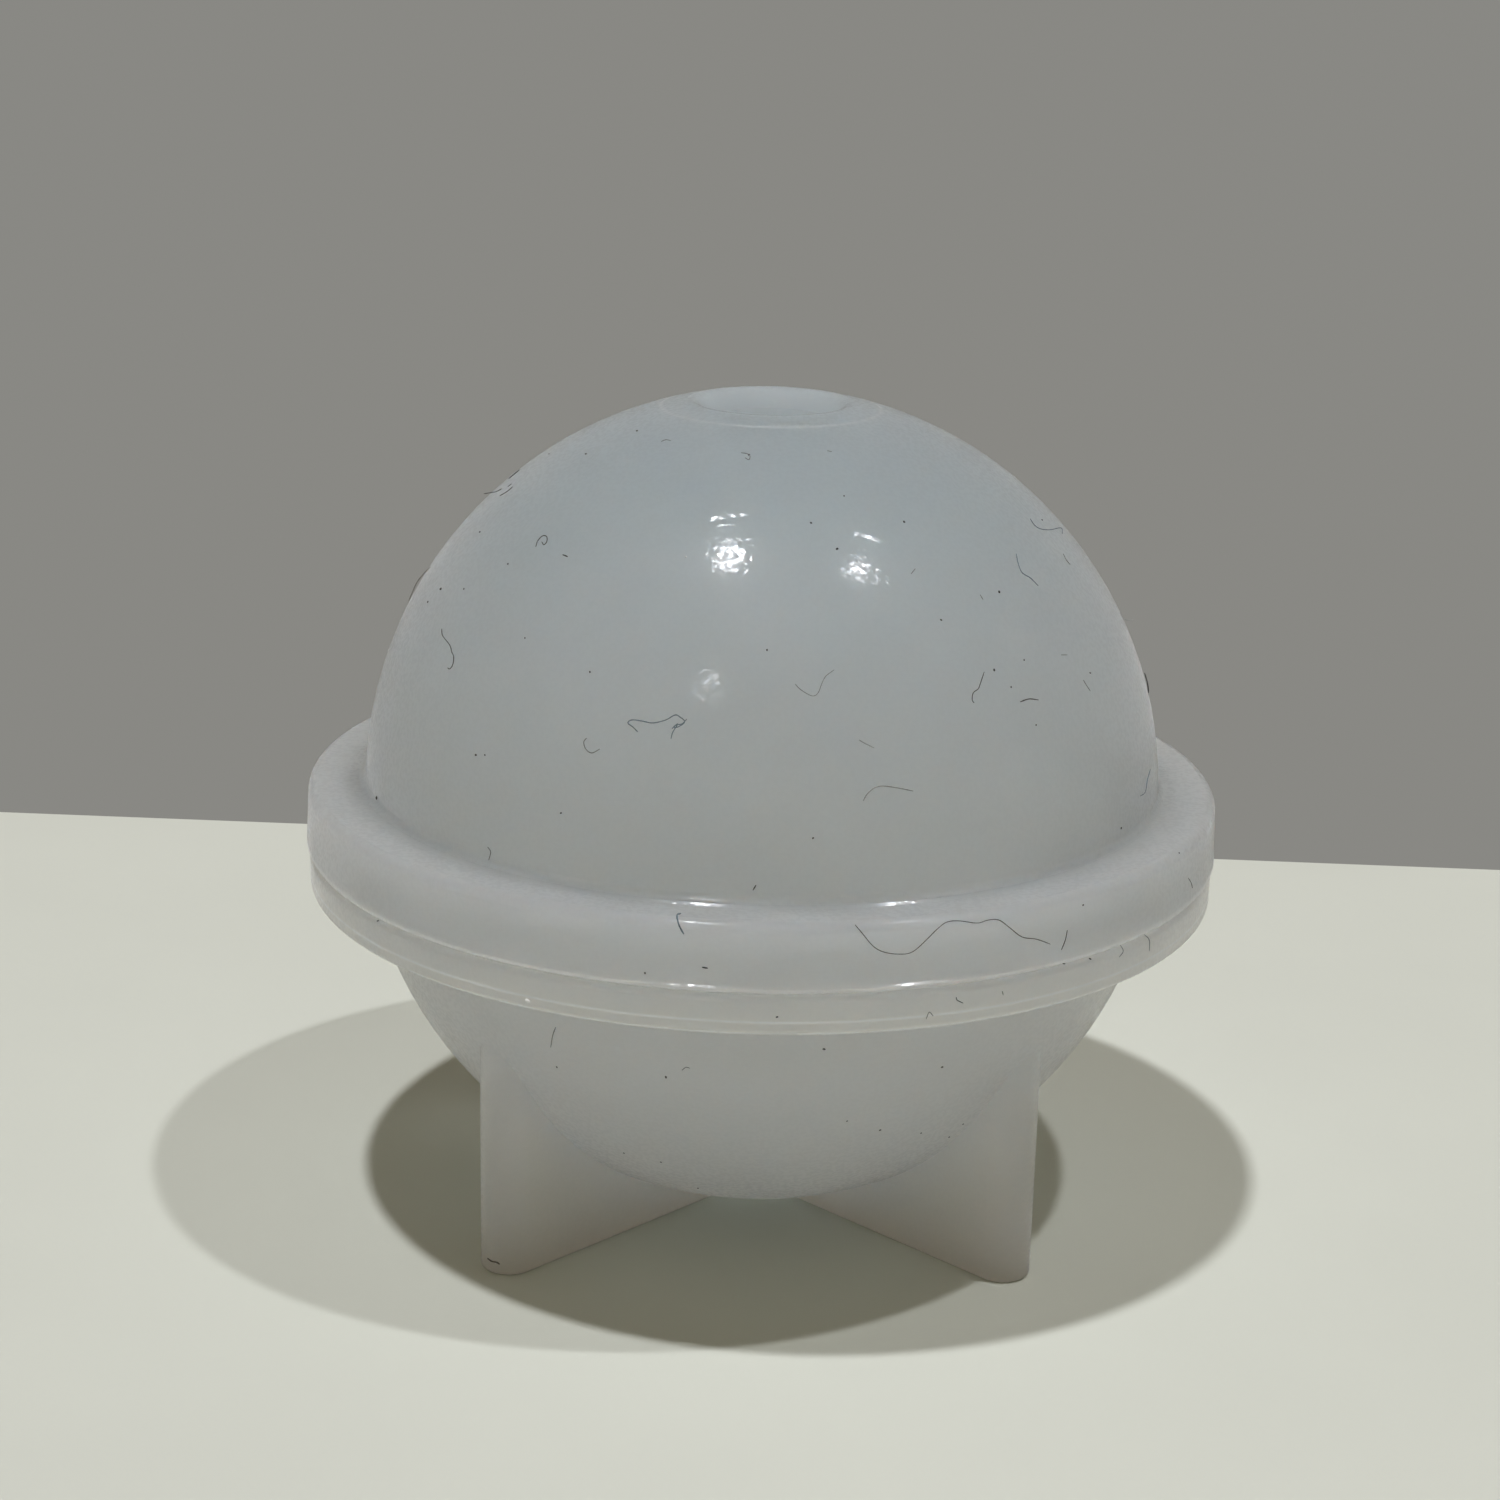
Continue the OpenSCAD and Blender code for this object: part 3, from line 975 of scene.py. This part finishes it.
def room_light(tree, look):
    """Lights with the room's own colour, and shows the backdrop's to the camera, also through and
    in the silicone."""
    add, link = tree.nodes.new, tree.links.new
    path = add("ShaderNodeLightPath")
    seen = path.outputs["Is Camera Ray"]
    for ray in ("Is Glossy Ray", "Is Transmission Ray"):
        either = add("ShaderNodeMath")
        either.operation = "MAXIMUM"
        link(seen, either.inputs[0])
        link(path.outputs[ray], either.inputs[1])
        seen = either.outputs["Value"]
    colour = add("ShaderNodeMix")
    colour.data_type = "RGBA"
    link(seen, colour.inputs["Factor"])
    colour.inputs["A"].default_value = (*look.room_light, 1)
    colour.inputs["B"].default_value = (*look.backdrop, 1)
    sky = tree.nodes["Background"]
    link(colour.outputs["Result"], sky.inputs["Color"])
    sky.inputs["Strength"].default_value = 1.0


def table_top(look):
    deselect_all()
    bpy.ops.mesh.primitive_plane_add(size=1)
    floor = bpy.context.object
    floor.name = "floor"
    corners = [(TABLE_LEFT, TABLE_FRONT), (TABLE_RIGHT, TABLE_FRONT),
               (TABLE_LEFT, TABLE_BACK_LEFT), (TABLE_RIGHT, TABLE_BACK_RIGHT)]
    for v, (x, y) in zip(floor.data.vertices, corners):
        v.co = (x, y, 0)
    m = Nodes("table_top")
    width, spread = TABLE_PATCHES
    m.feed("Base Color", m.patchy(m.noise(width, 3, 1), look.floor, spread))
    m.put(Roughness=0.8, Specular_IOR_Level=0.1)
    paint(floor, m.material)


def photo_camera(look):
    """The camera that the photograph was matched with."""
    place, aim = Vector(look.place), Vector(look.aim)
    turn = (aim - place).to_track_quat("-Z", "Y").to_matrix() @ Matrix.Rotation(look.roll, 3, "Z")
    bpy.ops.object.camera_add(location=place, rotation=turn.to_euler())
    camera = bpy.context.object
    camera.data.lens = look.lens
    camera.data.sensor_width = 36
    camera.data.clip_start = 0.005
    camera.data.clip_end = 20
    return camera


class MOULD_OT_stage(bpy.types.Operator):
    """Set the table top, the room, the lamps and the camera"""

    bl_idname = "mould.stage"
    bl_label = "Stage"
    bl_options = {"REGISTER", "UNDO"}

    def execute(self, context):
        scene = context.scene
        look = scene.mould_stage
        table_top(look)
        scene.world = scene.world or bpy.data.worlds.new("room")
        scene.world.use_nodes = True
        room_light(scene.world.node_tree, look)
        lamps(look)
        scene.camera = photo_camera(scene.mould_camera)
        scene.view_settings.view_transform = "Standard"
        return {"FINISHED"}


class MOULD_PT_panel(bpy.types.Panel):
    """Lists the mould's settings and the steps that build it"""

    bl_idname = "MOULD_PT_panel"
    bl_label = "Ball mould"
    bl_space_type = "VIEW_3D"
    bl_region_type = "UI"
    bl_category = "Ball mould"

    def draw(self, context):
        for title, group in GROUPS.items():
            box = self.layout.box()
            box.label(text=title)
            look = getattr(context.scene, group)
            for key in look.bl_rna.properties.keys():
                if key not in ("name", "rna_type"):
                    box.prop(look, key)
        for step in STEPS:
            self.layout.operator(step.bl_idname)


STEPS = (MOULD_OT_stage, MOULD_OT_upper_half, MOULD_OT_lower_half, MOULD_OT_lint, MOULD_OT_dust)
GROUPS = {
    "Domed half": "mould_upper",
    "Bowl half": "mould_lower",
    "Skin of both": "mould_skin",
    "Lint and dust": "mould_lint",
    "Stage": "mould_stage",
    "Camera": "mould_camera",
}
GROUP_TYPES = (UpperLook, LowerLook, SkinLook, LintLook, StageLook, CameraLook)


def register():
    for group_type in GROUP_TYPES:
        bpy.utils.register_class(group_type)
    for name, group_type in zip(GROUPS.values(), GROUP_TYPES):
        setattr(bpy.types.Scene, name, PointerProperty(type=group_type))
    for step in STEPS:
        bpy.utils.register_class(step)
    bpy.utils.register_class(MOULD_PT_panel)


def unregister():
    bpy.utils.unregister_class(MOULD_PT_panel)
    for step in reversed(STEPS):
        bpy.utils.unregister_class(step)
    for name in GROUPS.values():
        delattr(bpy.types.Scene, name)
    for group_type in reversed(GROUP_TYPES):
        bpy.utils.unregister_class(group_type)


def main():
    register()
    bpy.ops.mould.stage()
    bpy.ops.mould.upper_half()
    bpy.ops.mould.lower_half()
    bpy.ops.mould.lint()
    bpy.ops.mould.dust()


if __name__ == "__main__":
    main()
